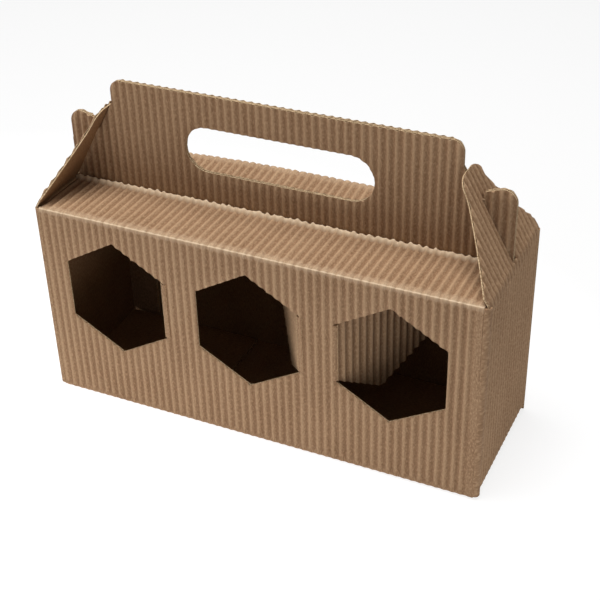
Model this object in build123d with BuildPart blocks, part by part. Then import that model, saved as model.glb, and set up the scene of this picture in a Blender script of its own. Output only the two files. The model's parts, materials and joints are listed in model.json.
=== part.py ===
# Carry carton for three jars, die-cut, creased and folded from single-face corrugated kraft board.
# Millimetres, +Z up. The origin is the middle of the base, +X runs along the carton, the windows face -Y.

from build123d import *
import os
from math import cos, radians, sin, sqrt, tan

# Carton body, measured over the crests of the flutes
length = 209.0
depth = 69.0
height = 97.0

# Board: a smooth liner inside and open flutes outside, which end at a plain crease beside each fold
liner = 0.5
flute = 1.1
flute_pitch = 3.62
flute_crest = 1.15
crease = 1.0
fold_radius = 1.4
clearance = 0.3

# Handle: two layers that stand on the folds of the front and back top panels
handle_inset = 24.35
handle_rise = 50.0
handle_corner = 5.0
layer_gap = 0.4
hand_slot_length = 87.8
hand_slot_height = 21.1
hand_slot_rise = 24.7
hand_slot_shift = -0.7
ear_inset = 1.9
ear_radius = 34.0
ear_corner = 5.5
ear_round = 2.2
notch_start = 31.2

# Gable flaps: they lean in over the ends, and the handle's ears stand through their slots
gable_lean = 29.0
gable_length = 44.5
gable_tip_width = 21.0
gable_tip_radius = 6.5
gable_neck_width = 24.0
gable_neck_rise = 34.0
gable_flank_width = 42.0
gable_flank_rise = 17.0
gable_foot_rise = 2.5
gable_slot_start = 2.4
gable_slot_end = 35.0
hinge_gap = 0.25

# Hexagon windows in the front, each with its cut-out folded inwards on one upright side
window_side = 28.5
window_margin = 7.3
window_shift = -1.2
window_rise = 57.5
left_fold_angle = 60.0
middle_fold_angle = 57.0
right_fold_angle = 62.0

# Floor and glue lap
end_flap_length = 71.0
floor_seam = 0.6
glue_lap_width = 15.0
glue_lap_trim = 2.0

# Values that follow from the sizes above
board = liner + flute
inside_x = length / 2 - board
inside_y = depth / 2 - board
inside_top = height - board
# Widths that flutes fill on the long and the short panels, with a narrow land at each end
fluted_length = 2 * (inside_x - crease) - clearance
fluted_depth = 2 * (inside_y - crease) - clearance
# The handle, its ears and the row of windows stop short of the carton's ends
handle_length = length - 2 * handle_inset
ear_reach = length / 2 - ear_inset
window_spacing = (length - 2 * window_margin) / 3
hinge_x = length / 2 - board / 2
hinge_z = height - board / 2
side_top = inside_top - hinge_gap
lean = radians(gable_lean)
# Ends of the top panels, just clear of the leaning gable flaps
top_half = hinge_x - board / 2 * (tan(lean) + 1 / cos(lean)) - clearance
flap_tip_x = hinge_x - gable_length * sin(lean)
flap_tip_z = hinge_z + gable_length * cos(lean)
layer_face = layer_gap / 2
window_half = window_side * sqrt(3) / 2


def board_section(plane: Plane, span: float, fluted: float) -> Sketch:
    """Section of the board: the liner's face on the plane's X axis, the flutes standing along its Y.

    The liner is as wide as the span, and whole flutes fill the fluted width in its middle.
    """
    flutes = round(fluted / flute_pitch)
    step = fluted / flutes
    slope = (step - flute_crest) / 2
    outline = [(-span / 2, 0), (-span / 2, liner)]
    for number in range(flutes):
        start = number * step - fluted / 2
        outline.append((start, liner))
        outline.append((start + slope, board))
        outline.append((start + slope + flute_crest, board))
    outline += [(fluted / 2, liner), (span / 2, liner), (span / 2, 0)]
    with BuildSketch(plane) as section:
        with BuildLine():
            Polyline(*outline, close=True)
        make_face()
    return section.sketch


def fold_section(plane: Plane) -> Sketch:
    """Section of a fold whose inside corner is the plane's origin, its legs along -X and -Y."""
    with BuildSketch(plane) as section:
        with BuildLine():
            Polyline(
                (0, 0),
                (-crease, 0),
                (-crease, board),
                (board, board),
                (board, -crease),
                (0, -crease),
                close=True,
            )
        make_face()
        fillet(section.vertices().group_by(Axis.X)[-1].sort_by(Axis.Y)[-1], fold_radius)
    return section.sketch


def window_flap(middle: float, hinge_side: int, fold: float) -> Part:
    """Hexagon cut-out of the window at this X, hinged on its left (-1) or right (1) side and folded inwards."""
    turn = radians(fold)
    along = Vector(-hinge_side * cos(turn), sin(turn), 0)
    outward = Vector(-hinge_side * sin(turn), -cos(turn), 0)
    centre = Vector(middle + hinge_side * window_half, -inside_y, window_rise) + along * window_half
    across = outward.cross(Vector(0, 0, 1))
    span = 2 * (window_half - clearance)
    with BuildPart() as flap:
        foot = Plane(origin=centre - Vector(0, 0, window_side), x_dir=across, z_dir=(0, 0, 1))
        extrude(board_section(foot, span, span - clearance), amount=2 * window_side)
        with BuildSketch(Plane(origin=centre, x_dir=across, z_dir=outward)):
            RegularPolygon(window_half - clearance, 6, major_radius=False, rotation=30)
        extrude(amount=board, mode=Mode.INTERSECT)
    return flap.part


# One handle layer: a fluted board trimmed to the handle, with its ears, notches and hand slot
with BuildPart() as handle_layer:
    layer_plane = Plane(origin=(0, -layer_face, height + crease), x_dir=(-1, 0, 0), z_dir=(0, 0, 1))
    extrude(board_section(layer_plane, 2 * (inside_x - crease), fluted_length), amount=handle_rise - crease)
    # The flutes are crushed along the fold at the handle's foot
    with BuildSketch(Plane.XZ.offset(layer_face)):
        with Locations((0, (inside_top + height + crease) / 2)):
            Rectangle(2 * inside_x, board + crease)
    extrude(amount=liner)
    with BuildSketch(Plane.XZ) as outline:
        with Locations((0, height + handle_rise / 2)):
            Rectangle(handle_length, handle_rise)
        fillet(outline.vertices().group_by(Axis.Y)[-1], handle_corner)
        # Shoulders under the leaning gable flaps, and the ears beyond them
        for end in (1, -1):
            with BuildLine():
                Polyline((0, height), (end * hinge_x, hinge_z), (end * flap_tip_x, flap_tip_z), close=True)
            make_face()
        with Locations((hinge_x, hinge_z), (-hinge_x, hinge_z)):
            Circle(ear_radius)
        with Locations((0, height + handle_rise / 2)):
            Rectangle(2 * ear_reach, handle_rise, mode=Mode.INTERSECT)
        ends = outline.vertices().group_by(Axis.X)
        fillet([ends[0].sort_by(Axis.Y)[-1], ends[-1].sort_by(Axis.Y)[-1]], ear_corner)
        with Locations((0, height - board / 2)):
            Rectangle(2 * top_half, board)
        # Room for each gable flap: its turning foot, and the band over its slot
        with Locations((hinge_x, hinge_z), (-hinge_x, hinge_z)):
            Circle(gable_slot_start + clearance, mode=Mode.SUBTRACT)
        notch_length = gable_length + clearance - notch_start
        notch_middle = notch_start + notch_length / 2
        for end in (1, -1):
            with Locations((end * (hinge_x - notch_middle * sin(lean)), hinge_z + notch_middle * cos(lean))):
                Rectangle(
                    board + 2 * clearance,
                    notch_length,
                    rotation=end * gable_lean,
                    mode=Mode.SUBTRACT,
                )
        # The ears are rounded beside their notches
        notch_half = board / 2 + clearance
        ear_tip = sqrt(ear_radius**2 - notch_half**2)
        tip_x = hinge_x - ear_tip * sin(lean) + notch_half * cos(lean)
        tip_y = hinge_z + ear_tip * cos(lean) + notch_half * sin(lean)
        for end in (1, -1):
            fillet(outline.vertices().sort_by_distance((end * tip_x, tip_y))[0], ear_round)
        with Locations((hand_slot_shift, height + hand_slot_rise)):
            SlotOverall(hand_slot_length, hand_slot_height, mode=Mode.SUBTRACT)
    extrude(amount=layer_face + board, mode=Mode.INTERSECT)

# Front half of the folded sheet: floor flap, wall, top panel and handle layer, without the ends
with BuildPart() as half_sheet:
    wall_plane = Plane(origin=(0, -inside_y, board + crease), x_dir=(-1, 0, 0), z_dir=(0, 0, 1))
    wall_run = inside_top - board - 2 * crease
    extrude(board_section(wall_plane, 2 * (inside_x - crease), fluted_length), amount=wall_run)
    top_edge = layer_face + board + crease
    top_plane = Plane(origin=(0, -top_edge, inside_top), x_dir=(1, 0, 0), z_dir=(0, -1, 0))
    top_run = inside_y - crease - top_edge
    extrude(board_section(top_plane, 2 * top_half, fluted_length), amount=top_run)
    # Crushed end of the top panel, from its last flutes to the handle's foot
    with BuildSketch(Plane.XY.offset(inside_top)):
        with Locations((0, -(layer_face + top_edge) / 2)):
            Rectangle(2 * top_half, top_edge - layer_face)
    extrude(amount=liner)
    floor_plane = Plane(origin=(0, -inside_y + crease, board), x_dir=(1, 0, 0), z_dir=(0, 1, 0))
    floor_run = inside_y - crease - floor_seam / 2
    extrude(board_section(floor_plane, 2 * top_half, fluted_length), amount=floor_run)
    top_fold = Plane(origin=(top_half, -inside_y, inside_top), x_dir=(0, -1, 0), z_dir=(-1, 0, 0))
    extrude(fold_section(top_fold), amount=2 * top_half)
    floor_fold = Plane(origin=(-top_half, -inside_y, board), x_dir=(0, -1, 0), z_dir=(1, 0, 0))
    extrude(fold_section(floor_fold), amount=2 * top_half)
    add(handle_layer.part)

# Right end of the folded sheet: side wall, its two upright folds and the end flap of the floor
with BuildPart() as end_sheet:
    corner_fold = Plane(origin=(inside_x, inside_y, board), x_dir=(1, 0, 0), z_dir=(0, 0, 1))
    extrude(fold_section(corner_fold), amount=side_top - board)
    mirror(about=Plane.XZ)
    side_foot = 2 * board + crease
    side_plane = Plane(origin=(inside_x, 0, side_foot), x_dir=(0, -1, 0), z_dir=(0, 0, 1))
    side_run = side_top - crease - side_foot
    extrude(board_section(side_plane, 2 * (inside_y - crease), fluted_depth), amount=side_run)
    # Plain rim under the gable flap's fold
    with BuildSketch(Plane.YZ.offset(inside_x)):
        with Locations((0, side_top - crease / 2)):
            Rectangle(2 * inside_y, crease)
    extrude(amount=board)
    end_fold = Plane(origin=(inside_x, -inside_y, 2 * board), x_dir=(1, 0, 0), z_dir=(0, 1, 0))
    extrude(fold_section(end_fold), amount=2 * inside_y)
    with BuildSketch(Plane.XY.offset(board)):
        with Locations((inside_x - crease / 2 - end_flap_length / 2, 0)):
            Rectangle(end_flap_length - crease, 2 * (inside_y - clearance))
    extrude(amount=board)

# The front is the half sheet with its windows cut
with BuildPart() as front_sheet:
    add(half_sheet.part)
    with BuildSketch(Plane.XZ.offset(inside_y)):
        with Locations((window_shift, window_rise)):
            with GridLocations(window_spacing, window_spacing, 3, 1):
                RegularPolygon(window_side, 6, rotation=30)
    extrude(amount=board, mode=Mode.SUBTRACT)

# Glue lap inside the back, at the left end
with BuildPart() as glue_lap:
    lap_foot = 2 * board + glue_lap_trim
    with BuildSketch(Plane.XY.offset(lap_foot)):
        with Locations((-inside_x + glue_lap_width / 2, inside_y - board / 2)):
            Rectangle(glue_lap_width, board)
    extrude(amount=inside_top - glue_lap_trim - lap_foot)

# The folded carton
back_sheet = mirror(half_sheet.part, about=Plane.XZ)
left_end_sheet = mirror(end_sheet.part, about=Plane.YZ)
with BuildPart() as carton:
    add([front_sheet.part, back_sheet, end_sheet.part, left_end_sheet, glue_lap.part])

# Right gable flap, hinged along the side wall's top edge, with its left twin
with BuildPart() as gable_flap_right:
    hinge = Vector(hinge_x, 0, hinge_z)
    rising = Vector(-sin(lean), 0, cos(lean))
    facing = Vector(cos(lean), 0, sin(lean))
    inner_face = hinge - facing * (board / 2)
    flap_half = depth / 2 - clearance
    flap_foot = Plane(origin=inner_face + rising * crease, x_dir=(0, -1, 0), z_dir=rising)
    extrude(board_section(flap_foot, 2 * flap_half, fluted_depth), amount=gable_length - crease)
    flap_face = Plane(origin=inner_face, x_dir=(0, 1, 0), z_dir=facing)
    with BuildSketch(flap_face):
        with Locations((0, crease / 2)):
            Rectangle(2 * flap_half, crease)
    extrude(amount=liner)
    with BuildSketch(flap_face) as gable_outline:
        with BuildLine():
            Line((0, 0), (flap_half, 0))
            Line((flap_half, 0), (flap_half, gable_foot_rise))
            ThreePointArc(
                (flap_half, gable_foot_rise),
                (gable_flank_width / 2, gable_flank_rise),
                (gable_neck_width / 2, gable_neck_rise),
            )
            Line((gable_neck_width / 2, gable_neck_rise), (gable_tip_width / 2, gable_length))
            Line((gable_tip_width / 2, gable_length), (0, gable_length))
            mirror(about=Plane.YZ)
        make_face()
        tips = gable_outline.vertices().group_by(Axis.Y)[-1].sort_by(Axis.X)
        fillet([tips[0], tips[-1]], gable_tip_radius)
        with Locations((0, (gable_slot_start + gable_slot_end) / 2)):
            Rectangle(
                2 * (layer_face + board + clearance),
                gable_slot_end - gable_slot_start,
                mode=Mode.SUBTRACT,
            )
    extrude(amount=board, mode=Mode.INTERSECT)
    with BuildSketch(Plane(origin=hinge - Vector(0, flap_half, 0), x_dir=(1, 0, 0), z_dir=(0, 1, 0))):
        Circle(board / 2)
    extrude(amount=2 * flap_half)

with BuildPart() as gable_flap_left:
    mirror(gable_flap_right.part, about=Plane.YZ)

pieces = {
    "carton": carton.part,
    "gable_flap_left": gable_flap_left.part,
    "gable_flap_right": gable_flap_right.part,
    "window_flap_left": window_flap(window_shift - window_spacing, 1, left_fold_angle),
    "window_flap_middle": window_flap(window_shift, 1, middle_fold_angle),
    "window_flap_right": window_flap(window_shift + window_spacing, -1, right_fold_angle),
}

os.makedirs("parts", exist_ok=True)
for name, piece in pieces.items():
    piece.label = name
    export_step(piece, f"parts/{name}.step")
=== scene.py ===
"""Looks of a carry carton for three jars, folded from single-face corrugated kraft board.

A piece is shaped in millimetres, in the carton's own axes, and is brought to metres when it is done.
"""

import json
import logging
from collections.abc import Callable
from dataclasses import dataclass
from enum import Enum
from math import acos, atan2, copysign, cos, degrees, hypot, pi, radians, sin, sqrt
from typing import Any, NamedTuple

import bmesh
import bpy
from mathutils import Matrix, Vector, noise

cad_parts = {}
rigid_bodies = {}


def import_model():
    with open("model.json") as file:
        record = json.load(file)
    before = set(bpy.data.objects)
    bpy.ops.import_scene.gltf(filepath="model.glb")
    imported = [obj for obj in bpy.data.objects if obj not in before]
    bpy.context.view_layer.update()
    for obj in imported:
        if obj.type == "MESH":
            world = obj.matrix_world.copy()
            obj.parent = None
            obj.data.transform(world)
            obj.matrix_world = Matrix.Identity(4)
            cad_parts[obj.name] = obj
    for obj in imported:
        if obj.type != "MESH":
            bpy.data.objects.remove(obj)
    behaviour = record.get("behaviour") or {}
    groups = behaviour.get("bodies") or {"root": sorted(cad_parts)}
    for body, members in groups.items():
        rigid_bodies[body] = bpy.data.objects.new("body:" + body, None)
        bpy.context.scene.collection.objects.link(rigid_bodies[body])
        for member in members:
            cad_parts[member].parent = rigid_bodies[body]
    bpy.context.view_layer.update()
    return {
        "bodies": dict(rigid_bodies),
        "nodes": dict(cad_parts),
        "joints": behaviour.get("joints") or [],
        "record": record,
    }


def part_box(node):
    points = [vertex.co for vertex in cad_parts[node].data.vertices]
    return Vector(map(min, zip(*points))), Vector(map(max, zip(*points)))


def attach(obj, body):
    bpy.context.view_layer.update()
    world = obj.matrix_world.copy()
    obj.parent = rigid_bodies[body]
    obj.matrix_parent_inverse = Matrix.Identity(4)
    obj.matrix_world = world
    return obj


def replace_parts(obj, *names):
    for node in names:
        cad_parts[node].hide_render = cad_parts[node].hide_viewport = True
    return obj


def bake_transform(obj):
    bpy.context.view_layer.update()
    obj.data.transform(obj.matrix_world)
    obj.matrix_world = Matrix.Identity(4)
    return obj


LOG = logging.getLogger("jar_carton")
MM = 0.001
RIGHT, UP = Vector((1.0, 0.0, 0.0)), Vector((0.0, 0.0, 1.0))
FRONT = Vector((0.0, -1.0, 0.0))
# A cutter's depth, and how far its outline reaches past the board
CUT_DEPTH, CUT_PAST = 12.0, 10.0

Point = tuple[float, float]
Field = Callable[[float, float], float]


class Face(Enum):
    """Finish of a face of the board, by its material slot."""

    FLUTED = 0
    LINER = 1
    CUT = 2
    END = 3


class Cut(Enum):
    """What a cutter does to a sheet."""

    TAKE_OUT = "DIFFERENCE"
    KEEP = "INTERSECT"


def smooth(value: float) -> float:
    """Smooth step of a value from 0 to 1, held level outside that range."""
    share = min(max(value, 0.0), 1.0)
    return share * share * (3.0 - 2.0 * share)


def wobble(across: float, along: float, seed: float) -> float:
    """Smooth noise from about -1 to 1 at a place that is given in wavelengths."""
    return noise.noise(Vector((across, along, seed)))


def frame_of(origin: Vector, along: Vector, outward: Vector) -> Matrix:
    """Places a sheet's own axes: Y runs along it, Z points out of its flutes, and X goes across.

    Args:
        origin: Where the sheet starts, on the bare face of its liner.
        along: Unit vector of the sheet's run.
        outward: Unit vector towards the flutes.

    Returns:
        The matrix from the sheet's axes to the carton's.
    """
    across = along.cross(outward)
    place = Matrix((across, along, outward)).transposed().to_4x4()
    place.translation = origin
    return place


def arc(centre: Point, radius: float, start: float, end: float, steps: int = 8) -> list[Point]:
    """Points of an arc.

    Args:
        centre: Centre of the arc.
        radius: Radius of the arc.
        start: First angle, in degrees.
        end: Last angle, in degrees.
        steps: Number of chords.

    Returns:
        The points from the first angle to the last.
    """
    angles = [radians(start + (end - start) * step / steps) for step in range(steps + 1)]
    return [(centre[0] + radius * cos(angle), centre[1] + radius * sin(angle)) for angle in angles]


def arc_through(first: Point, middle: Point, last: Point, steps: int = 10) -> list[Point]:
    """Points of the arc through three points.

    Args:
        first: Start of the arc.
        middle: A point on the arc.
        last: End of the arc.
        steps: Number of chords.

    Returns:
        The points from first to last.
    """
    (ax, ay), (bx, by), (cx, cy) = first, middle, last
    scale = 2.0 * (ax * (by - cy) + bx * (cy - ay) + cx * (ay - by))
    squares = [x * x + y * y for x, y in (first, middle, last)]
    x = (squares[0] * (by - cy) + squares[1] * (cy - ay) + squares[2] * (ay - by)) / scale
    y = (squares[0] * (cx - bx) + squares[1] * (ax - cx) + squares[2] * (bx - ax)) / scale
    start = degrees(atan2(ay - y, ax - x))
    end = degrees(atan2(cy - y, cx - x))
    turn = (end - start + 180.0) % 360.0 - 180.0
    return arc((x, y), hypot(ax - x, ay - y), start, start + turn, steps)


@dataclass(frozen=True)
class Board:
    """Single-face corrugated board: a smooth liner with a fluted paper glued on it."""

    liner: float = 0.5
    flute: float = 1.1
    paper: float = 0.18
    glue: float = 0.02
    crumple_room: float = 0.5
    sharpness: float = 1.3
    outer_steps: int = 8
    inner_steps: int = 4

    @property
    def thickness(self) -> float:
        """Liner and flute together."""
        return self.liner + self.flute

    def wave(self, phase: float) -> float:
        """Height of the fluted paper, from 0 in a valley to 1 on a crest, where phase is a whole number."""
        return (0.5 + 0.5 * cos(2.0 * pi * phase)) ** self.sharpness


class Station(NamedTuple):
    """A place on a folded sheet's liner, in side view."""

    along: float
    point: Vector
    turn: float


def normal_at(turn: float) -> Vector:
    """Direction out of the flutes of a sheet that has turned this far."""
    return Vector((0.0, -sin(turn), cos(turn)))


class FoldPath:
    """Side view of a sheet: straight runs and folds along the bare face of its liner."""

    FINE = 0.55
    COARSE = 3.2
    FOLD_STEPS = 6

    def __init__(self, start: float = 0.0) -> None:
        """Starts a path along the sheet's Y.

        Args:
            start: Length along the sheet at the start of the path.
        """
        self.stations = [Station(start, Vector((0.0, start, 0.0)), 0.0)]
        self.folds: list[Point] = []

    def run(self, length: float, fine_start: float = 0.0, fine_end: float = 0.0) -> "FoldPath":
        """Adds a straight run, with close stations near its ends.

        Args:
            length: Length of the run.
            fine_start: Length with close stations at its start.
            fine_end: Length with close stations at its end.

        Returns:
            The path itself.
        """
        last = self.stations[-1]
        heading = Vector((0.0, cos(last.turn), sin(last.turn)))
        place = 0.0
        for part, step in (
            (fine_start, self.FINE),
            (length - fine_start - fine_end, self.COARSE),
            (fine_end, self.FINE),
        ):
            count = max(1, round(part / step)) if part > 0.0 else 0
            for number in range(1, count + 1):
                there = place + part * number / count
                self.stations.append(Station(last.along + there, last.point + heading * there, last.turn))
            place += part
        return self

    def fold(self, angle: float, radius: float) -> "FoldPath":
        """Adds a fold, towards the flutes where the angle is positive.

        Args:
            angle: Turn in degrees.
            radius: Radius of the liner's bare face.

        Returns:
            The path itself.
        """
        last = self.stations[-1]
        side = copysign(1.0, angle)
        centre = last.point + normal_at(last.turn) * (side * radius)
        for number in range(1, self.FOLD_STEPS + 1):
            share = number / self.FOLD_STEPS
            turn = last.turn + radians(angle) * share
            point = centre - normal_at(turn) * (side * radius)
            self.stations.append(Station(last.along + abs(radians(angle)) * radius * share, point, turn))
        self.folds.append((last.along, self.stations[-1].along))
        return self


class ProfilePoint(NamedTuple):
    """A point of a sheet's section.

    Its height is its lift and the flute's rise, and loose is its share of the crushed paper.
    """

    across: float
    lift: float
    wave: float = 0.0
    fluted: bool = False
    loose: float = 0.0


def everywhere(across: float, along: float) -> float:
    """A field that is 1 all over a sheet."""
    return 1.0


def nowhere(across: float, along: float) -> float:
    """A field that is 0 all over a sheet."""
    return 0.0


@dataclass
class Sheet:
    """A run of board with flutes along it, or plain board where it has no flutes."""

    board: Board
    path: FoldPath
    place: Matrix
    flutes: int = 0
    pitch: float = 3.59
    width: float = 0.0
    plain_height: float = 0.0
    seed: float = 0.0
    bow: Field = nowhere
    relief: Field = everywhere
    pinch: Field = everywhere
    crumple: Field = nowhere
    wear: Field = nowhere

    BOW_WAVE = 55.0
    WANDER_WAVE = 16.0
    WANDER = 0.14

    def half(self) -> float:
        """Half the width of the sheet."""
        return self.flutes * self.pitch / 2.0 if self.flutes else self.width / 2.0

    def fluted_profile(self) -> list[ProfilePoint]:
        """Closed section of the fluted paper, its outer face first."""
        board = self.board
        foot = board.liner + board.glue

        def side(steps: int, lift: float, loose: float) -> list[ProfilePoint]:
            """One face of the fluted paper from left to right."""
            points = []
            for number in range(self.flutes * steps + 1):
                phase = number / steps - 0.5
                across = number * self.pitch / steps - self.half()
                points.append(ProfilePoint(across, lift, board.wave(phase), True, loose))
            return points

        return side(board.outer_steps, foot + board.paper, 1.0) + side(board.inner_steps, foot, 0.0)[::-1]

    def flat_profile(self, height: float) -> list[ProfilePoint]:
        """Closed section of a flat paper of this height."""
        count = self.flutes or max(2, round(self.width / self.pitch))
        places = [2.0 * self.half() * number / count - self.half() for number in range(count + 1)]
        upper = [ProfilePoint(place, height) for place in places]
        return upper + [ProfilePoint(place, 0.0) for place in reversed(places)]

    def spot(self, station: Station, point: ProfilePoint) -> Vector:
        """Place of a section's point at a station, in the carton's axes."""
        across, along = point.across, station.along
        height = point.lift
        if point.fluted:
            power = 1.0 + point.loose * (self.pinch(across, along) - 1.0)
            room = (self.board.flute - self.board.paper) * point.wave**power
            height += room * self.relief(across, along) + point.loose * self.crumple(across, along)
            across += self.WANDER * wobble(across / self.WANDER_WAVE, along / self.WANDER_WAVE, self.seed)
        edge = 1.0 - (across / self.half()) ** 4
        swell = wobble(across / self.BOW_WAVE, along / self.BOW_WAVE, self.seed + 7.0)
        height += self.bow(across, along) * edge * swell
        lifted = station.point + normal_at(station.turn) * height
        return self.place @ (lifted + Vector((across, 0.0, 0.0)))

    def mark(self, station: Station, point: ProfilePoint) -> tuple[float, float, float, float]:
        """Flute number, pitches along the flutes, wear and share of the flutes' height at a point."""
        across, along = point.across, station.along
        wear = self.wear(across, along)
        if not self.flutes:
            return (along / self.pitch, across / self.pitch, wear, 0.0)
        number = (across + self.half()) / self.pitch - 0.5
        return (number, along / self.pitch, wear, self.relief(across, along) * self.pinch(across, along))

    def sweep(self, bm: bmesh.types.BMesh, profile: list[ProfilePoint], face: Face) -> None:
        """Extrudes a closed section along the path, closes its two ends and turns all its faces outwards.

        Args:
            bm: Mesh that gets the shell.
            profile: Points of the section.
            face: Finish of the shell.
        """
        order = bm.verts.layers.int.get("order") or bm.verts.layers.int.new("order")
        sheet = bm.verts.layers.float_color.get("sheet") or bm.verts.layers.float_color.new("sheet")
        first = self.path.stations[0]
        ring = [bm.verts.new(self.spot(first, point)) for point in profile]
        for number, vert in enumerate(ring):
            vert[order] = number
            vert[sheet] = self.mark(first, profile[number])
        start_cap = bm.faces.new(ring)
        edges = list(start_cap.edges)
        shell = []
        for station in self.path.stations[1:]:
            grown = bmesh.ops.extrude_edge_only(bm, edges=edges)["geom"]
            edges = [part for part in grown if isinstance(part, bmesh.types.BMEdge)]
            shell += [part for part in grown if isinstance(part, bmesh.types.BMFace)]
            ring = [part for part in grown if isinstance(part, bmesh.types.BMVert)]
            for vert in ring:
                vert.co = self.spot(station, profile[vert[order]])
                vert[sheet] = self.mark(station, profile[vert[order]])
        end_cap = bm.faces.new(sorted(ring, key=lambda vert: vert[order]))
        for part in shell:
            part.material_index = face.value
        for part in (start_cap, end_cap):
            part.material_index = Face.END.value
        shell += [start_cap, end_cap]
        bmesh.ops.recalc_face_normals(bm, faces=shell)
        volume = 0.0
        for part in shell:
            part.normal_update()
            volume += part.calc_center_median().dot(part.normal) * part.calc_area()
        if volume < 0.0:
            bmesh.ops.reverse_faces(bm, faces=shell)

    def mesh(self) -> bmesh.types.BMesh:
        """Liner and fluted paper as closed shells.

        Returns:
            The mesh, with two maps: "board" counts flutes along U and pitches along V, and "wear" holds
            the wear and the share of the flutes' height, which also scales the flutes' painted shade and
            highlight.
        """
        bm = bmesh.new()
        if self.flutes:
            self.sweep(bm, self.flat_profile(self.board.liner), Face.LINER)
            self.sweep(bm, self.fluted_profile(), Face.FLUTED)
        else:
            self.sweep(bm, self.flat_profile(self.plain_height), Face.FLUTED)
        sheet = bm.verts.layers.float_color["sheet"]
        board_map, wear_map = bm.loops.layers.uv.new("board"), bm.loops.layers.uv.new("wear")
        for face in bm.faces:
            for loop in face.loops:
                mark = loop.vert[sheet]
                loop[board_map].uv = mark[:2]
                loop[wear_map].uv = mark[2:]
        return bm


def link_mesh(bm: bmesh.types.BMesh, name: str) -> bpy.types.Object:
    """Turns a bmesh into an object of the scene.

    Args:
        bm: Mesh, which is freed.
        name: Name of the object.

    Returns:
        The object.
    """
    data = bpy.data.meshes.new(name)
    bm.to_mesh(data)
    bm.free()
    piece = bpy.data.objects.new(name, data)
    bpy.context.scene.collection.objects.link(piece)
    return piece


def add_prism(
    bm: bmesh.types.BMesh, outline: list[Point], place: Matrix, depth: float = CUT_DEPTH
) -> None:
    """Adds a cutter: an outline in the place's XY plane, extruded both ways along its Z.

    Args:
        bm: Mesh that gets the prism.
        outline: Points of the outline.
        place: Matrix of the outline's plane.
        depth: Length of the prism.
    """
    verts = [bm.verts.new(place @ Vector((x, y, -depth / 2.0))) for x, y in outline]
    base = bm.faces.new(verts)
    grown = bmesh.ops.extrude_face_region(bm, geom=[base], use_keep_orig=True)["geom"]
    top = [part for part in grown if isinstance(part, bmesh.types.BMVert)]
    bmesh.ops.translate(bm, verts=top, vec=place.to_3x3() @ Vector((0.0, 0.0, depth)))


def carve(piece: bpy.types.Object, cutter: bmesh.types.BMesh, how: Cut) -> None:
    """Cuts a piece with a cutter, whose faces become bare cut edges.

    Args:
        piece: Object that is cut.
        cutter: Mesh of the cutter, which is freed.
        how: Whether the cutter's inside is taken out or kept.
    """
    bmesh.ops.recalc_face_normals(cutter, faces=cutter.faces[:])
    for face in cutter.faces:
        face.material_index = Face.CUT.value
    tool = link_mesh(cutter, "cutter")
    cut = piece.modifiers.new("cut", "BOOLEAN")
    cut.operation = how.value
    cut.solver = "EXACT"
    cut.material_mode = "INDEX"
    cut.object = tool
    done = bpy.data.meshes.new_from_object(piece.evaluated_get(bpy.context.evaluated_depsgraph_get()))
    piece.modifiers.remove(cut)
    piece.data = done
    bpy.data.objects.remove(tool)


def press_cuts(piece: bpy.types.Object, place: Matrix, board: Board, keep: float) -> None:
    """Presses the flutes towards the liner along cut edges, as a cutting die does.

    Args:
        piece: Object that has been cut.
        place: Axes of the panel that is pressed, with Z out of the flutes.
        board: Board of the piece.
        keep: Share of the flutes' height that is left.
    """
    data, into = piece.data, place.inverted()
    foot = board.liner + board.glue
    cuts = [face for face in data.polygons if face.material_index == Face.CUT.value]
    for number in {number for face in cuts for number in face.vertices}:
        spot = into @ data.vertices[number].co
        if foot < spot.z < board.thickness + board.crumple_room:
            spot.z = foot + keep * (spot.z - foot)
            data.vertices[number].co = place @ spot


def linear(code: str) -> tuple[float, float, float, float]:
    """Linear colour of a hex sRGB value."""
    parts = [int(code[place : place + 2], 16) / 255.0 for place in (1, 3, 5)]
    lit = [part / 12.92 if part <= 0.04045 else ((part + 0.055) / 1.055) ** 2.4 for part in parts]
    return (*lit, 1.0)


def add_node(
    tree: bpy.types.NodeTree,
    kind: str,
    settings: dict[str, Any] | None = None,
    sockets: dict[str | int, Any] | None = None,
) -> bpy.types.Node:
    """Adds a node with its settings and its input values or links.

    Args:
        tree: Node tree that gets the node.
        kind: Blender's name of the node type.
        settings: Properties of the node.
        sockets: Input values by name or number, where an output socket makes a link.

    Returns:
        The new node.
    """
    node = tree.nodes.new(kind)
    for name, value in (settings or {}).items():
        setattr(node, name, value)
    for name, value in (sockets or {}).items():
        if isinstance(value, bpy.types.NodeSocket):
            tree.links.new(value, node.inputs[name])
        else:
            node.inputs[name].default_value = value
    return node


def new_material(
    name: str, roughness: float, gloss: float
) -> tuple[bpy.types.Material, bpy.types.NodeTree, bpy.types.Node]:
    """Starts a material.

    Args:
        name: Name of the material.
        roughness: Roughness of its surface.
        gloss: Specular level of its surface.

    Returns:
        The material, its node tree and its shader.
    """
    material = bpy.data.materials.new(name)
    material.use_nodes = True
    shader = material.node_tree.nodes["Principled BSDF"]
    shader.inputs["Roughness"].default_value = roughness
    shader.inputs["Specular IOR Level"].default_value = gloss
    return material, material.node_tree, shader


class Grain(NamedTuple):
    """Noise in a paper's colour: its tone, size in millimetres, detail and the range that shows."""

    tone: str
    across_mm: float
    along_mm: float
    detail: float
    low: float
    high: float
    share: float


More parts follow.
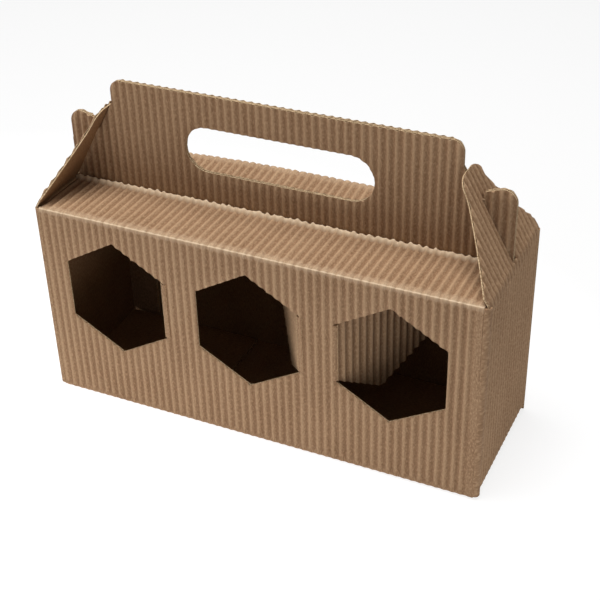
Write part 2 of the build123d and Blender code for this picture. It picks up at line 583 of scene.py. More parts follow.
@dataclass(frozen=True)
class KraftPaper:
    """Unbleached kraft paper: matt, brown and cloudy, with paler and darker long fibres.

    Real fibres are finer than the grains, which are drawn as coarse as they need to show. The flutes'
    valleys get painted shade, and their crests a pale band that is partly rubbed wear and partly painted
    highlight.
    """

    name: str
    body: str
    pale: str
    dark: str
    worn: str
    # Ranges and shares of the flutes' phase for the pale crest band, partly rubbed wear and partly painted
    # highlight, and for the painted shade in the valleys
    crest: tuple[float, float, float] = (0.55, 1.0, 0.0)
    valley: tuple[float, float, float] = (0.2, -1.0, 0.0)
    tooth_mm: float = 0.05
    tooth_share: float = 0.6
    roughness: float = 0.86
    gloss: float = 0.25

    @property
    def grains(self) -> tuple[Grain, ...]:
        """Cloudy tone, dark flecks and pale fibres, from the widest to the finest."""
        return (
            Grain(self.dark, 14.0, 28.0, 2.0, 0.35, 0.7, 0.35),
            Grain(self.dark, 0.9, 1.6, 2.0, 0.5, 0.72, 0.5),
            Grain(self.pale, 0.6, 1.5, 2.0, 0.45, 0.7, 0.5),
        )

    def build(self, pitch: float) -> bpy.types.Material:
        """Makes the material.

        Args:
            pitch: Length in millimetres of one unit of the board map.

        Returns:
            The material.
        """
        material, tree, shader = new_material(self.name, self.roughness, self.gloss)
        board_map = add_node(tree, "ShaderNodeUVMap", {"uv_map": "board"}).outputs["UV"]
        wear_map = add_node(tree, "ShaderNodeUVMap", {"uv_map": "wear"}).outputs["UV"]
        place = add_node(tree, "ShaderNodeSeparateXYZ", {}, {"Vector": board_map})
        touch = add_node(tree, "ShaderNodeSeparateXYZ", {}, {"Vector": wear_map})
        sockets = {0: place.outputs["X"], 1: 2.0 * pi}
        angle = add_node(tree, "ShaderNodeMath", {"operation": "MULTIPLY"}, sockets).outputs["Value"]
        crest = add_node(tree, "ShaderNodeMath", {"operation": "COSINE"}, {0: angle}).outputs["Value"]
        layers = []
        for grain in self.grains:
            stretch = (pitch / grain.across_mm, pitch / grain.along_mm, 1.0)
            spot = add_node(tree, "ShaderNodeMapping", {}, {"Vector": board_map, "Scale": stretch})
            sockets = {"Vector": spot.outputs["Vector"], "Scale": 1.0, "Detail": grain.detail}
            fleck = add_node(tree, "ShaderNodeTexNoise", {"noise_dimensions": "2D"}, sockets).outputs["Fac"]
            sockets = {"Value": fleck, "From Min": grain.low, "From Max": grain.high, "To Max": grain.share}
            share = add_node(tree, "ShaderNodeMapRange", {}, sockets).outputs["Result"]
            layers.append((share, grain.tone))
        # Painted shade in the flutes' valleys and a pale band on their crests, partly rubbed wear and
        # partly painted highlight, both fading where the flutes are crushed
        for (low, high, top), tone in ((self.valley, self.dark), (self.crest, self.pale)):
            sockets = {"Value": crest, "From Min": low, "From Max": high, "To Max": top}
            line = add_node(tree, "ShaderNodeMapRange", {}, sockets).outputs["Result"]
            sockets = {0: line, 1: touch.outputs["Y"]}
            share = add_node(tree, "ShaderNodeMath", {"operation": "MULTIPLY"}, sockets).outputs["Value"]
            layers.append((share, tone))
        layers.append((touch.outputs["X"], self.worn))
        colour: Any = linear(self.body)
        for share, tone in layers:
            sockets = {0: share, 6: colour, 7: linear(tone)}
            colour = add_node(tree, "ShaderNodeMix", {"data_type": "RGBA"}, sockets).outputs[2]
        tree.links.new(colour, shader.inputs["Base Color"])
        sockets = {"Height": fleck, "Distance": self.tooth_mm * MM, "Strength": self.tooth_share}
        tooth = add_node(tree, "ShaderNodeBump", {}, sockets).outputs["Normal"]
        tree.links.new(tooth, shader.inputs["Normal"])
        return material


@dataclass(frozen=True)
class CutEdge:
    """Freshly die-cut edge of kraft board: torn fibres, paler and rougher than the faces."""

    name: str = "kraft_cut_edge"
    body: str = "#D8BD98"
    dark: str = "#8F6E4B"
    fibre_mm: float = 0.5
    tones: Point = (0.3, 0.6)
    roughness: float = 0.95
    gloss: float = 0.2

    def build(self) -> bpy.types.Material:
        """Makes the material."""
        material, tree, shader = new_material(self.name, self.roughness, self.gloss)
        place = add_node(tree, "ShaderNodeTexCoord").outputs["Object"]
        sockets = {"Vector": place, "Scale": 1.0 / (self.fibre_mm * MM), "Detail": 2.0}
        fibre = add_node(tree, "ShaderNodeTexNoise", {}, sockets).outputs["Fac"]
        ramp = add_node(tree, "ShaderNodeValToRGB", {}, {"Fac": fibre})
        for stop, tone, position in zip(ramp.color_ramp.elements, (self.dark, self.body), self.tones):
            stop.color = linear(tone)
            stop.position = position
        tree.links.new(ramp.outputs["Color"], shader.inputs["Base Color"])
        return material


@dataclass(frozen=True)
class Finishes:
    """The finishes of the board, in the order of the material slots."""

    materials: tuple[bpy.types.Material, ...]
    sharp_angle: float = 42.0

    def dress(self, piece: bpy.types.Object) -> None:
        """Brings a piece to metres and gives it its finishes and its shading."""
        data = piece.data
        data.transform(Matrix.Scale(MM, 4))
        for material in self.materials:
            data.materials.append(material)
        for name in ("order", "sheet"):
            if name in data.attributes:
                data.attributes.remove(data.attributes[name])
        data.shade_smooth()
        data.set_sharp_from_angle(angle=radians(self.sharp_angle))

    def fit(self, piece: bpy.types.Object, node: str) -> bpy.types.Object:
        """Dresses a piece that moves with a node of the frame and takes its place."""
        self.dress(piece)
        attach(piece, node)
        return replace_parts(piece, node)


@dataclass(frozen=True)
class Hinge:
    """A joint of the frame, in millimetres and degrees."""

    child: str
    pivot: Vector
    axis: Vector
    low: float
    high: float

    @staticmethod
    def named(frame: dict[str, Any], name: str) -> "Hinge":
        """Reads a joint of the frame by its name."""
        joint = next(one for one in frame["joints"] if one["name"] == name)
        low, high = joint["range_deg"]
        return Hinge(joint["child"], Vector(joint["pos_m"]) / MM, Vector(joint["axis"]), low, high)

    def bend(self, strip: bpy.types.Object, angle: float, reach: Vector) -> None:
        """Turns a strip across the hinge, smoothly from none at its start to the full angle at its end.

        Args:
            strip: Object that is bent.
            angle: Full turn, in degrees.
            reach: From the hinge to the strip's end.
        """
        start = self.pivot - reach
        run = self.pivot + reach - start
        for vert in strip.data.vertices:
            share = smooth((vert.co - start).dot(run) / run.length_squared)
            spin = Matrix.Rotation(radians(angle) * share, 3, self.axis)
            vert.co = self.pivot + spin @ (vert.co - self.pivot)

    def hang(
        self,
        flap: bpy.types.Object,
        crease: bpy.types.Object,
        angle: float,
        reach: Vector,
        finishes: Finishes,
    ) -> list[bpy.types.Object]:
        """Folds a flap and the strip across its hinge, and joins the strip to both sides.

        Args:
            flap: Flap, flat with its wall.
            crease: Strip across the hinge, flat with the wall.
            angle: Turn of the flap at rest, in degrees.
            reach: From the hinge to the strip's end on the flap.
            finishes: Finishes of the board.

        Returns:
            The flap and the crease.
        """
        spin = Matrix.Rotation(radians(angle), 4, self.axis)
        flap.data.transform(Matrix.Translation(self.pivot) @ spin @ Matrix.Translation(-self.pivot))
        finishes.fit(flap, self.child)
        self.bend(crease, angle, reach)
        finishes.dress(crease)
        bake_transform(crease)
        return [flap, crease]


@dataclass
class Carton:
    """Sizes of the folded carton, taken from the frame, and of its cut outline."""

    board: Board
    half_length: float
    half_depth: float
    top: float
    height: float = 97.0
    pitch_long: float = 3.633
    pitch_short: float = 3.528
    flutes_long: int = 58
    flutes_side: int = 18
    flutes_gable: int = 20
    crease: float = 1.0
    layer_gap: float = 0.4
    floor_seam: float = 0.6
    end_flap_length: float = 71.0
    fold_radius: float = 0.2
    foot_radius: float = 1.0
    handle_half: float = 80.15
    handle_corner: float = 5.0
    hand_slot: Point = (87.8, 21.1)
    hand_slot_place: Point = (-0.7, 24.7)
    ear_reach: float = 102.6
    ear_radius: float = 34.0
    ear_corner: float = 5.5
    ear_round: float = 2.2
    ear_turn: float = 80.0
    ear_foot: Point = (0.8, 0.4)
    notch_start: float = 31.2
    notch_half: float = 1.1
    window_side: float = 28.5
    strip_half: float = 4.0
    corner_radius: float = 0.6

    @property
    def inside(self) -> Vector:
        """Half the inside length, half the inside depth and the inside height."""
        wall = self.board.thickness
        return Vector((self.half_length - wall, self.half_depth - wall, self.height - wall))


@dataclass
class HalfSheet:
    """Front or back of the carton: floor flap, wall, top panel and handle layer in one folded sheet."""

    carton: Carton
    name: str
    turned: float
    seed: float
    lands: Point
    arch: Point = (0.0, 0.0)
    crush: float = 0.2
    crush_reach: float = 2.6
    crush_stray: float = 0.4
    top_crush: float = 0.4
    pleat: float = 0.3
    pleat_reach: Point = (1.4, 4.2)
    pleat_stray: float = 0.5
    pleat_wave: float = 2.6
    dent: float = 0.25
    dent_wave: Point = (1.3, 1.1)
    ridge: float = 2.1
    ridge_place: float = 1.7
    ridge_half: float = 2.1
    knots: Point = (0.85, 0.4)
    knot_wave: Point = (1.5, 1.4)
    ridge_wear: float = 1.2
    rub: float = 0.8
    rub_wave: float = 2.0
    line_wear: float = 0.75
    line_half: float = 0.22
    pleat_wear: float = 0.2
    land_lift: float = 0.75
    bead: float = 0.6
    bead_reach: float = 2.0
    cut_keep: float = 0.45
    sway: float = 0.3
    sway_start: float = 10.0
    fine_floor: float = 4.0
    fine_top: float = 5.0
    fine_foot: Point = (7.0, 3.5)
    arch_start: float = 2.0

    def path(self) -> FoldPath:
        """Side view from the floor's seam to the top of the handle."""
        carton, inside = self.carton, self.carton.inside
        bend_radius, foot = carton.fold_radius, carton.foot_radius
        floor = inside.y - carton.floor_seam / 2.0 - bend_radius
        wall = inside.z - carton.board.thickness - 2.0 * bend_radius
        top = inside.y - carton.layer_gap / 2.0 - bend_radius - foot
        handle = carton.top - inside.z - foot
        path = FoldPath().run(floor, 0.0, self.fine_floor).fold(-90.0, bend_radius)
        path.run(wall, self.fine_floor, self.fine_top).fold(-90.0, bend_radius)
        path.run(top, self.fine_top, self.fine_foot[0]).fold(90.0, foot)
        return path.run(handle, self.fine_foot[1], 0.0)

    def sheet(self) -> Sheet:
        """The sheet before it is cut out."""
        carton, board = self.carton, self.carton.board
        start = Vector((0.0, -carton.floor_seam / 2.0, board.thickness))
        place = frame_of(start, FRONT, -UP)
        place = Matrix.Rotation(radians(self.turned), 4, "Z") @ place
        path = self.path()
        floor_fold, top_fold, foot_fold = path.folds

        def land(across: float, along: float) -> float:
            """1 on the flat lands beside the carton's upright corners."""
            if not floor_fold[0] < along < top_fold[1]:
                return 0.0
            width = self.lands[0] if across < 0.0 else self.lands[1]
            return 1.0 - smooth((carton.half_length - abs(across) - width) / carton.pitch_long + 0.5)

        def beside_top(across: float, along: float) -> float:
            """1 on the top crease, falling to 0 on the wall and, further away, on the top panel."""
            below = (top_fold[0] - along) / self.pleat_reach[0]
            above = (along - top_fold[1]) / self.pleat_reach[1]
            stray = 1.0 + self.pleat_stray * wobble(across / self.pleat_wave, 0.0, self.seed + 5.0)
            return smooth(1.0 - max(below, above, 0.0) / stray)

        def bow(across: float, along: float) -> float:
            """Depth of the board's slow waves, with none on the floor, which lies on the table."""
            return self.sway * smooth((along - floor_fold[1]) / self.sway_start)

        def relief(across: float, along: float) -> float:
            """Share of the flutes' height that the creases, the handle's foot and the lands leave."""
            keep = 1.0
            for number, (first, last) in enumerate((floor_fold, foot_fold)):
                gap = max(first - along, along - last, 0.0)
                sway = wobble(across / carton.pitch_long, 3.7 * number, self.seed)
                stray = 1.0 + self.crush_stray * sway
                keep = min(keep, self.crush + (1.0 - self.crush) * smooth(gap / (self.crush_reach * stray)))
            keep = min(keep, 1.0 - self.top_crush * beside_top(across, along))
            return keep * (1.0 - land(across, along))

        def pinch(across: float, along: float) -> float:
            """Power of the flutes' wave, under 1 where valleys close to pleats at the top crease."""
            return 1.0 - (1.0 - self.pleat) * beside_top(across, along)

        def foot_ridge(across: float, along: float) -> float:
            """Height of the crushed paper that stands up along the handle's foot, from 0 to about 1."""
            bank = smooth(1.0 - abs(foot_fold[0] - along - self.ridge_place) / self.ridge_half)
            knot = wobble(across / self.knot_wave[0], along / self.knot_wave[1], self.seed + 3.0)
            return bank * (self.knots[0] + self.knots[1] * knot)

        def crumple(across: float, along: float) -> float:
            """Crushed paper beside the creases and on the lands."""
            knock = wobble(across / self.dent_wave[0], along / self.dent_wave[1], self.seed + 5.0)
            dents = beside_top(across, along) * max(0.5 + knock, 0.0)
            off = max(floor_fold[0] - along, along - floor_fold[1], 0.0)
            bead = smooth(1.0 - off / self.bead_reach)
            lift = max(self.land_lift * land(across, along), self.bead * bead)
            return self.ridge * foot_ridge(across, along) + self.dent * dents + lift

        def wear(across: float, along: float) -> float:
            """Pale rubbed paper on the top crease and on the crushed paper at the handle's foot."""
            off = abs(along - (top_fold[0] + top_fold[1]) / 2.0) / (top_fold[1] - top_fold[0])
            rub = 1.0 + self.rub * wobble(across / self.rub_wave, 0.0, self.seed + 9.0)
            line = self.line_wear * smooth(1.0 - off / self.line_half)
            line = rub * (line + self.pleat_wear * beside_top(across, along))
            return min(max(line + self.ridge_wear * foot_ridge(across, along), 0.0), 1.0)

        return Sheet(
            board,
            path,
            place,
            flutes=carton.flutes_long,
            pitch=carton.pitch_long,
            seed=self.seed,
            bow=bow,
            relief=relief,
            pinch=pinch,
            crumple=crumple,
            wear=wear,
        )

    def end_waste(self, side: int, hinge: Hinge) -> list[Point]:
        """What is cut away beyond one end: over the ear, round the handle's corner and past the wall.

        Args:
            side: 1 at the right end, -1 at the left one.
            hinge: Hinge of that end's gable flap.

        Returns:
            The outline, from the handle's top round the ear and down past the wall.
        """
        carton = self.carton
        lean = radians(hinge.high - 90.0)
        pivot_x, pivot_z = abs(hinge.pivot.x), hinge.pivot.z
        reach, far = carton.ear_reach, carton.half_length + 2.0 * CUT_PAST

        def beside(along: float, off: float) -> Point:
            """A point beside the gable flap's middle plane."""
            return (
                pivot_x - along * sin(lean) + off * cos(lean),
                pivot_z + along * cos(lean) + off * sin(lean),
            )

        corner, half, blunt = carton.handle_corner, carton.notch_half, carton.ear_round
        shoulder = (pivot_x - carton.handle_half - half * cos(lean)) / sin(lean)
        meets, sag = sqrt(carton.ear_radius**2 - half**2), 0.3 * blunt
        first = beside(meets, half)
        ear_start = degrees(atan2(first[1] - pivot_z, first[0] - pivot_x) - blunt / carton.ear_radius)
        ear_end = degrees(acos((reach - carton.ear_corner - pivot_x) / carton.ear_radius))
        crown = pivot_z + carton.ear_radius * sin(radians(ear_end))
        outline = [(carton.handle_half - corner, carton.top + CUT_PAST)]
        outline += arc((carton.handle_half - corner, carton.top - corner), corner, 90.0, 0.0)
        outline += [beside(shoulder, -half), beside(carton.notch_start, -half)]
        outline += [beside(carton.notch_start, half)]
        outline += arc_through(
            beside(meets - blunt, half),
            beside(meets - sag, half + sag),
            beside(meets, half + blunt),
            4,
        )[:-1]
        outline += arc((pivot_x, pivot_z), carton.ear_radius, ear_start, ear_end)
        centre = (reach - carton.ear_corner, crown - carton.ear_corner)
        outline += arc(centre, carton.ear_corner, carton.ear_turn, 0.0)
        wall_end = carton.inside.x - carton.crease
        outline += [(x, carton.height + rise) for x, rise in zip((reach, wall_end), carton.ear_foot)]
        outline += [(wall_end, -CUT_PAST), (far, -CUT_PAST), (far, carton.top + CUT_PAST)]
        return [(side * x, z) for x, z in outline]

    def cutter(self, frame: dict[str, Any], windows: list[Point]) -> bmesh.types.BMesh:
        """Prisms that take out the ends' waste, the hand slot and the windows.

        Args:
            frame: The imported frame.
            windows: Middles of the windows, none at the back.

        Returns:
            The cutter.
        """
        carton = self.carton
        upright = frame_of(Vector(), UP, FRONT)
        bm = bmesh.new()
        for side, name in ((1, "gable_right_hinge"), (-1, "gable_left_hinge")):
            waste = self.end_waste(side, Hinge.named(frame, name))
            add_prism(bm, waste, upright, 4.0 * carton.half_depth)
        radius = carton.hand_slot[1] / 2.0
        reach = carton.hand_slot[0] / 2.0 - radius
        shift, rise = carton.hand_slot_place[0], carton.height + carton.hand_slot_place[1]
        slot = arc((shift + reach, rise), radius, -90.0, 90.0, 14)
        slot += arc((shift - reach, rise), radius, 90.0, 270.0, 14)
        add_prism(bm, slot, upright)
        for middle in windows:
            hexagon = arc(middle, carton.window_side, 30.0, 330.0, 5)
            add_prism(bm, hexagon, Matrix.Translation(FRONT * carton.half_depth) @ upright)
        return bm

    def build(self, frame: dict[str, Any], windows: list[Point], finishes: Finishes) -> bpy.types.Object:
        """Makes the sheet, cuts it out and dresses it."""
        carton = self.carton
        piece = link_mesh(self.sheet().mesh(), self.name)
        carve(piece, self.cutter(frame, windows), Cut.TAKE_OUT)
        spin = Matrix.Rotation(radians(self.turned), 4, "Z")
        for face in (carton.inside.y, carton.layer_gap / 2.0):
            press_cuts(piece, spin @ frame_of(FRONT * face, UP, FRONT), carton.board, self.cut_keep)
        rise, lean = self.arch
        for vert in piece.data.vertices:
            share = 1.0 - (vert.co.x / carton.half_length) ** 2
            off = max(abs(vert.co.y) - self.arch_start, 0.0)
            share *= min(off / (carton.half_depth - self.arch_start), 1.0)
            share *= min(vert.co.z / carton.height, 1.0)
            vert.co += share * Vector((0.0, copysign(lean, vert.co.y), rise))
        return finishes.fit(piece, "carton")


@dataclass
class EndSheet:
    """One end of the carton: floor end flap, side wall, gable crease, gable flap and two corner folds."""

    carton: Carton
    side: str
    turned: float
    seed: float
    tip_width: float = 21.0
    tip_radius: float = 6.5
    neck: Point = (12.0, 34.0)
    flank: Point = (23.4, 17.0)
    foot_rise: float = 4.5
    flap_length: float = 44.5
    slot: Point = (2.4, 31.2)
    slot_clearance: float = 0.3
    end_clearance: float = 1.1
    cut_keep: float = 0.5
    corner_height: float = 1.45
    corner_gap: float = 0.2
    corner_overlap: float = 0.1
    sway: float = 0.25
    sway_start: float = 10.0
    crush: float = 0.2
    crush_reach: float = 3.0
    crease_keep: float = 0.7
    crease_reach: float = 2.5
    edge_reach: Point = (1.6, 1.8)

    def stand(self, place: Matrix) -> Matrix:
        """Turns a place at the right end to this end."""
        return Matrix.Rotation(radians(self.turned), 4, "Z") @ place

    def wall(self, finishes: Finishes, hinge: Hinge) -> bpy.types.Object:
        """Floor end flap and side wall, up to the gable crease."""
        carton, inside = self.carton, self.carton.inside
        floor = 2.0 * carton.board.thickness
        start = Vector((inside.x - carton.end_flap_length, 0.0, floor))
        path = FoldPath().run(carton.end_flap_length - carton.fold_radius, 0.0, self.crush_reach)
        path.fold(-90.0, carton.fold_radius)
        path.run(hinge.pivot.z - carton.strip_half - floor - carton.fold_radius, self.crush_reach, 0.0)
        place = self.stand(frame_of(start, RIGHT, -UP))
        first, last = path.folds[0]

        def bow(across: float, along: float) -> float:
            """Depth of the wall's slow waves, with none on the floor's end flap."""
            return self.sway * smooth((along - last) / self.sway_start)

        def relief(across: float, along: float) -> float:
            """Share of the flutes' height that the floor's crease leaves."""
            gap = max(first - along, along - last, 0.0)
            return self.crush + (1.0 - self.crush) * smooth(gap / self.crush_reach)

        sheet = Sheet(carton.board, path, place, carton.flutes_side, carton.pitch_short, seed=self.seed)
        sheet.bow, sheet.relief = bow, relief
        piece = link_mesh(sheet.mesh(), f"carton_end_{self.side}")
        return finishes.fit(piece, "carton")

    def corner(
        self, name: str, along: Vector, outward: Vector, finishes: Finishes, hinge: Hinge
    ) -> bpy.types.Object:
        """An upright fold of plain crushed board at one edge of this end.

        Args:
            name: Name of the piece.
            along: Direction of the sheet before the fold, at the right end.
            outward: Direction out of the board before the fold, at the right end.
            finishes: Finishes of the board.
            hinge: Hinge of this end's gable flap, under which the fold ends.

        Returns:
            The piece.
        """
        carton, inside = self.carton, self.carton.inside
        foot, top = carton.board.thickness, hinge.pivot.z - self.corner_gap
        edge_y = copysign(inside.y, outward.y if outward.y else along.y)
        edge = Vector((inside.x, edge_y, (foot + top) / 2.0))
        leg = carton.crease + self.corner_overlap
        path = FoldPath().run(leg - carton.corner_radius).fold(-90.0, carton.corner_radius)
        path.run(leg - carton.corner_radius)
        place = self.stand(frame_of(edge - along * leg, along, outward))
        sheet = Sheet(carton.board, path, place, width=top - foot, seed=self.seed)
        sheet.plain_height = self.corner_height
        return finishes.fit(link_mesh(sheet.mesh(), name), "carton")

    def panel(self, hinge: Hinge) -> Matrix:
        """Axes of the gable flap at its hinge, as it stands before it is folded over."""
        face = Vector((self.carton.inside.x, 0.0, hinge.pivot.z))
        return self.stand(frame_of(face, UP, RIGHT))

    def upright_sheet(self, start: float, end: float, hinge: Hinge) -> Sheet:
        """Board over the side wall, as it stands before it is folded over."""
        carton = self.carton
        path = FoldPath(start).run(end - start, 2.0 * carton.strip_half, 0.0)

        def relief(across: float, along: float) -> float:
            """Share of the flutes' height that the crease and the corners leave."""
            crease = self.crease_keep + (1.0 - self.crease_keep) * smooth(abs(along) / self.crease_reach)
            start, width = self.edge_reach
            corner = smooth((carton.half_depth - abs(across) - start) / width)
            return min(crease, self.crush + (1.0 - self.crush) * corner)

        sheet = Sheet(carton.board, path, self.panel(hinge), carton.flutes_gable, carton.pitch_short)
        sheet.seed, sheet.relief = self.seed, relief
        return sheet

    def outline(self) -> list[Point]:
        """Outline of the gable flap, across and up from its hinge."""
        half = self.carton.half_depth - self.end_clearance
        tip = self.tip_width / 2.0
        flank = arc_through((half, self.foot_rise), self.flank, self.neck)
        centre = (tip - self.tip_radius, self.flap_length - self.tip_radius)
        right = [(half, -CUT_PAST), *flank, *arc(centre, self.tip_radius, 0.0, 90.0)]
        return right + [(-x, y) for x, y in reversed(right)]

    def keep_outline(self, piece: bpy.types.Object, hinge: Hinge) -> None:
        """Cuts a gable piece to the flap's outline and opens the slot for the handle's ear."""
        carton, place = self.carton, self.panel(hinge)
        keep = bmesh.new()
        add_prism(keep, self.outline(), place)
        carve(piece, keep, Cut.KEEP)
        half = carton.layer_gap / 2.0 + carton.board.thickness + self.slot_clearance
        low, high = self.slot
        slot = bmesh.new()
        add_prism(slot, [(-half, low), (half, low), (half, high), (-half, high)], place)
        carve(piece, slot, Cut.TAKE_OUT)
        press_cuts(piece, place, carton.board, self.cut_keep)

    def gable(self, finishes: Finishes, hinge: Hinge) -> list[bpy.types.Object]:
        """The gable flap, and the crease that joins it to the side wall."""
        reach = self.carton.strip_half
        parts = []
        for name, start, end in (("gable", reach, self.flap_length), ("gable_crease", -reach, reach)):
            part = link_mesh(self.upright_sheet(start, end, hinge).mesh(), f"{name}_{self.side}")
            self.keep_outline(part, hinge)
            parts.append(part)
        return hinge.hang(*parts, 90.0 - hinge.high, UP * reach, finishes)


@dataclass
class WindowFlap:
    """The cut-out of one window, folded inwards on one upright side."""

    carton: Carton
    side: str
    seed: float
    clearance: float = 0.3
    flutes: int = 14
    strip_reach: float = 1.1
    strip_height: float = 1.35
    strip_gap: float = 0.6

    def inward(self, hinge: Hinge) -> float:
        """1 where the window lies to the right of its hinge, -1 where it lies to the left."""
        return hinge.axis.z

    def middle(self, hinge: Hinge) -> Point:
        """Middle of the window in the front wall."""
        half = self.carton.window_side * sqrt(3.0) / 2.0
        return (hinge.pivot.x + self.inward(hinge) * half, hinge.pivot.z)

    def build(self, finishes: Finishes, hinge: Hinge) -> list[bpy.types.Object]:
        """The flap, and the crease that joins it to the front wall."""
        carton, board = self.carton, self.carton.board
        x, z = self.middle(hinge)
        side = carton.window_side - self.clearance * 2.0 / sqrt(3.0)
        apothem = side * sqrt(3.0) / 2.0
        pitch = 2.0 * apothem / (self.flutes - 1)
        foot = Vector((x, -carton.inside.y, z - carton.window_side))
        path = FoldPath().run(2.0 * carton.window_side)
        sheet = Sheet(board, path, frame_of(foot, UP, FRONT), self.flutes, pitch, seed=self.seed)
        flap = link_mesh(sheet.mesh(), f"window_{self.side}")
        keep = bmesh.new()
        middle = frame_of(Vector((x, -carton.inside.y, z)), UP, FRONT)
        add_prism(keep, arc((0.0, 0.0), side, 30.0, 330.0, 5), middle)
        carve(flap, keep, Cut.KEEP)
        along, reach = RIGHT * self.inward(hinge), self.strip_reach
        path = FoldPath(-reach).run(2.0 * reach, 2.0 * reach, 0.0)
        strip = Sheet(board, path, frame_of(hinge.pivot, along, FRONT), seed=self.seed)
        strip.width, strip.plain_height = carton.window_side - self.strip_gap, self.strip_height
        crease = link_mesh(strip.mesh(), f"window_crease_{self.side}")
        return hinge.hang(flap, crease, -hinge.low, along * reach, finishes)


@dataclass
class GlueLap:
    """Plain lap inside the back wall at the left end."""

    carton: Carton
    width: float = 15.0
    clearance: float = 2.0
    seed: float = 31.0

    def build(self, finishes: Finishes) -> bpy.types.Object:
        """Makes the lap and dresses it."""
        inside, thickness = self.carton.inside, self.carton.board.thickness
        foot, top = 2.0 * thickness + self.clearance, inside.z - self.clearance
        start = Vector((-inside.x + self.width, inside.y - thickness, (foot + top) / 2.0))
        place = frame_of(start, -RIGHT, -FRONT)
        path = FoldPath().run(self.width)
        sheet = Sheet(self.carton.board, path, place, width=top - foot, seed=self.seed)
        sheet.plain_height = thickness
        return finishes.fit(link_mesh(sheet.mesh(), "carton_glue_lap"), "carton")


@dataclass(frozen=True)
class Studio:
    """Pale floor that glows near the carton as painted light, soft light and the camera."""

    eye: Vector = Vector((213.6, -423.8, 363.3))
    azimuth: float = 25.92
    elevation: float = 33.14
    roll: float = -1.67
    lens: float = 76.06
    sensor: float = 36.0
    sky: float = 0.21
    key_power: float = 13.8
    key_size: float = 0.75
    key_place: Vector = Vector((-0.12, -0.05, 1.15))
    key_aim: Vector = Vector((0.0, 0.0, 0.08))
    floor_size: float = 6.0
    floor_paper: str = "#F3F3F3"
    # Painted light: strength of the floor's glow, its middle and the distances over which it fades out
    table_glow: float = 0.88
    table_place: Vector = Vector((-0.13, -0.15, 0.0))
    table_reach: Point = (0.12, 0.38)
    white_share: float = 0.7

    def camera(self) -> None:
        """Sets the camera at the viewing angle."""
        az, el, roll = radians(self.azimuth), radians(self.elevation), radians(self.roll)
        back = Vector((sin(az) * cos(el), -cos(az) * cos(el), sin(el)))
        right = Vector((cos(az), sin(az), 0.0))
        up = back.cross(right)
        tilted_right = cos(roll) * right + sin(roll) * up
        tilted_up = -sin(roll) * right + cos(roll) * up
        data = bpy.data.cameras.new("camera")
        data.sensor_width = self.sensor
        data.lens = self.lens
        camera = bpy.data.objects.new("camera", data)
        bpy.context.scene.collection.objects.link(camera)
        camera.matrix_world = Matrix((tilted_right, tilted_up, back)).transposed().to_4x4()
        camera.location = self.eye * MM
        bpy.context.scene.camera = camera

    def world(self) -> None:
        """White surroundings, of which the camera sees plain white."""
        world = bpy.data.worlds.new("white_room")
        bpy.context.scene.world = world
        world.use_nodes = True
        tree = world.node_tree
        background = tree.nodes["Background"]
        path = add_node(tree, "ShaderNodeLightPath")
        seen = path.outputs["Is Camera Ray"]
        for ray in ("Is Glossy Ray", "Is Transmission Ray"):
            sockets = {0: seen, 1: path.outputs[ray]}
            seen = add_node(tree, "ShaderNodeMath", {"operation": "MAXIMUM"}, sockets).outputs["Value"]
        sockets = {"Value": seen, "To Min": self.sky, "To Max": 1.0}
        strength = add_node(tree, "ShaderNodeMapRange", {}, sockets)
        tree.links.new(strength.outputs["Result"], background.inputs["Strength"])
        background.inputs["Color"].default_value = (1.0, 1.0, 1.0, 1.0)

    def floor(self) -> None:
        """A pale floor that keeps the carton's shadow, and glows near the carton as painted light that
        lights it from below.
        """
        bm = bmesh.new()
        bmesh.ops.create_grid(bm, x_segments=1, y_segments=1, size=self.floor_size)
        floor = link_mesh(bm, "floor")
        material, tree, shader = new_material("white_paper", roughness=0.9, gloss=0.5)
        shader.inputs["Base Color"].default_value = linear(self.floor_paper)
        place = add_node(tree, "ShaderNodeTexCoord").outputs["Object"]
        # Painted light: the floor glows most at the table's place, in front of the carton's left end, and
        # fades with distance
        sockets = {0: place, 1: self.table_place}
        away = add_node(tree, "ShaderNodeVectorMath", {"operation": "DISTANCE"}, sockets).outputs["Value"]
        near, far = self.table_reach
        sockets = {"Value": away, "From Min": near, "From Max": far, "To Min": self.table_glow}
        sockets["To Max"] = 0.0
        strength = add_node(tree, "ShaderNodeMapRange", {}, sockets).outputs["Result"]
        glow = add_node(tree, "ShaderNodeEmission", {}, {"Strength": strength}).outputs["Emission"]
        sockets = {0: shader.outputs["BSDF"], 1: glow}
        lit = add_node(tree, "ShaderNodeAddShader", {}, sockets).outputs["Shader"]
        seen = add_node(tree, "ShaderNodeLightPath").outputs["Is Camera Ray"]
        share = add_node(tree, "ShaderNodeMath", {"operation": "MULTIPLY"}, {0: seen, 1: self.white_share})
        white = add_node(tree, "ShaderNodeEmission", {}, {"Strength": 1.0}).outputs["Emission"]
        mix = add_node(tree, "ShaderNodeMixShader", {}, {0: share.outputs["Value"], 1: lit, 2: white})
        tree.links.new(mix.outputs["Shader"], tree.nodes["Material Output"].inputs["Surface"])
        floor.data.materials.append(material)

    def light(self) -> None:
        """One large soft lamp over the left end."""
        data = bpy.data.lights.new("softbox", "AREA")
        data.shape = "DISK"
        data.size = self.key_size
        data.energy = self.key_power
        lamp = bpy.data.objects.new("softbox", data)
        bpy.context.scene.collection.objects.link(lamp)
        lamp.location = self.key_place
        aim = self.key_aim - self.key_place
        lamp.rotation_euler = aim.to_track_quat("-Z", "Y").to_euler()

    def build(self) -> None:
        """Makes the whole stage."""
        self.camera()
        self.world()
        self.floor()
        self.light()
        bpy.context.scene.view_settings.view_transform = "Standard"


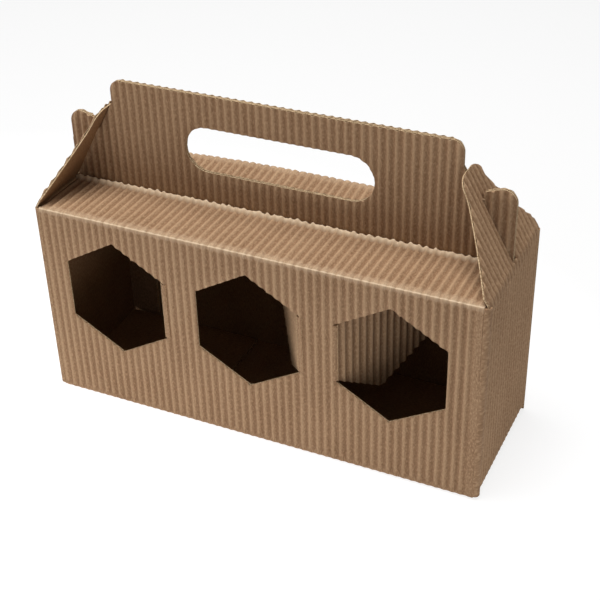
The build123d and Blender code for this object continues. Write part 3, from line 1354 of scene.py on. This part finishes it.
def make_finishes(pitch: float) -> Finishes:
    """The board's finishes: fluted paper outside, smooth liner inside and bare cut edges."""
    fluted = KraftPaper(
        "kraft_fluted_paper",
        body="#98795C",
        pale="#BE9D7B",
        dark="#76553A",
        worn="#E8CFAF",
        # Pale crest band, partly rubbed wear and partly painted highlight, and painted shade in the valleys
        crest=(-0.2, 1.0, 0.42),
        valley=(0.0, -1.0, 0.42),
    )
    liner = KraftPaper("kraft_liner", body="#8A6848", pale="#A5845F", dark="#6F4F33", worn="#B8987A")
    edge = CutEdge().build()
    return Finishes((fluted.build(pitch), liner.build(pitch), edge, edge))


def main() -> None:
    """Builds the carton on its frame, piece by piece, and the stage round it."""
    logging.basicConfig(level=logging.INFO)
    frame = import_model()
    low, high = (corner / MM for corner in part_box("carton"))
    carton = Carton(Board(), (high.x - low.x) / 2.0, (high.y - low.y) / 2.0, high.z)
    finishes = make_finishes(carton.pitch_long)
    pieces: list[bpy.types.Object] = []
    windows = []
    for number, side in enumerate(("left", "middle", "right")):
        flap = WindowFlap(carton, side, seed=11.0 + number)
        hinge = Hinge.named(frame, f"window_{side}_hinge")
        windows.append(flap.middle(hinge))
        pieces += flap.build(finishes, hinge)
    front = HalfSheet(carton, "carton_front", 0.0, 1.0, lands=(3.4, 6.2))
    back = HalfSheet(carton, "carton_back", 180.0, 2.0, lands=(3.4, 3.4), arch=(4.2, 1.0))
    pieces.append(front.build(frame, windows, finishes))
    pieces.append(back.build(frame, [], finishes))
    for side, turned in (("right", 0.0), ("left", 180.0)):
        end = EndSheet(carton, side, turned, seed=21.0 + turned / 180.0)
        hinge = Hinge.named(frame, f"gable_{side}_hinge")
        pieces.append(end.wall(finishes, hinge))
        for letter, along, outward in (("a", RIGHT, FRONT), ("b", -FRONT, RIGHT)):
            name = f"carton_corner_{side}_{letter}"
            pieces.append(end.corner(name, along, outward, finishes, hinge))
        pieces += end.gable(finishes, hinge)
    pieces.append(GlueLap(carton).build(finishes))
    for piece in pieces:
        LOG.info("%s: %d faces", piece.name, len(piece.data.polygons))
    Studio().build()


if __name__ == "__main__":
    main()
